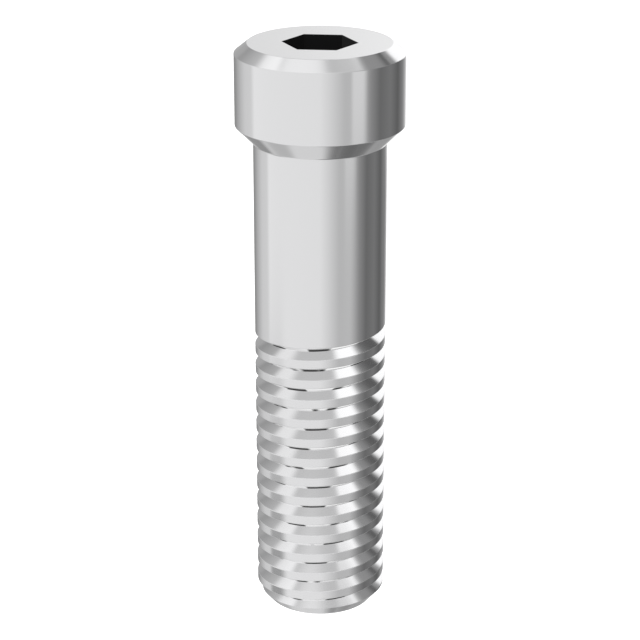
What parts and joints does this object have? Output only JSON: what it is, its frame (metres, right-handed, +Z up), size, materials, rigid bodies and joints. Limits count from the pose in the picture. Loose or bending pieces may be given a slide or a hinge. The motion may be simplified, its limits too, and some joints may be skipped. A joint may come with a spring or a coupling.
{
  "type": "dental prosthetic screw",
  "caption": "Small one-piece titanium screw with a cylindrical head, hex socket, 45 degree seat, plain shank and fine thread, for fixing a dental prosthesis to an implant.",
  "frame": {"origin": "on the surface that the lying screw rests on, under the centre of its bounding box", "axes": "+Y from the tip to the head, +Z up, and the screw's own axis dips 2.06 degrees from +Y towards the tip, because it rests on the head's lower edge and the thread's last crest"},
  "size_m": [0.0024, 0.0082, 0.0023],
  "materials": {
    "turned_titanium": "bright turned titanium, faint turning marks"
  },
  "bodies": {
    "root": {"prosthetic_screw": "turned_titanium"}
  },
  "joints": []
}
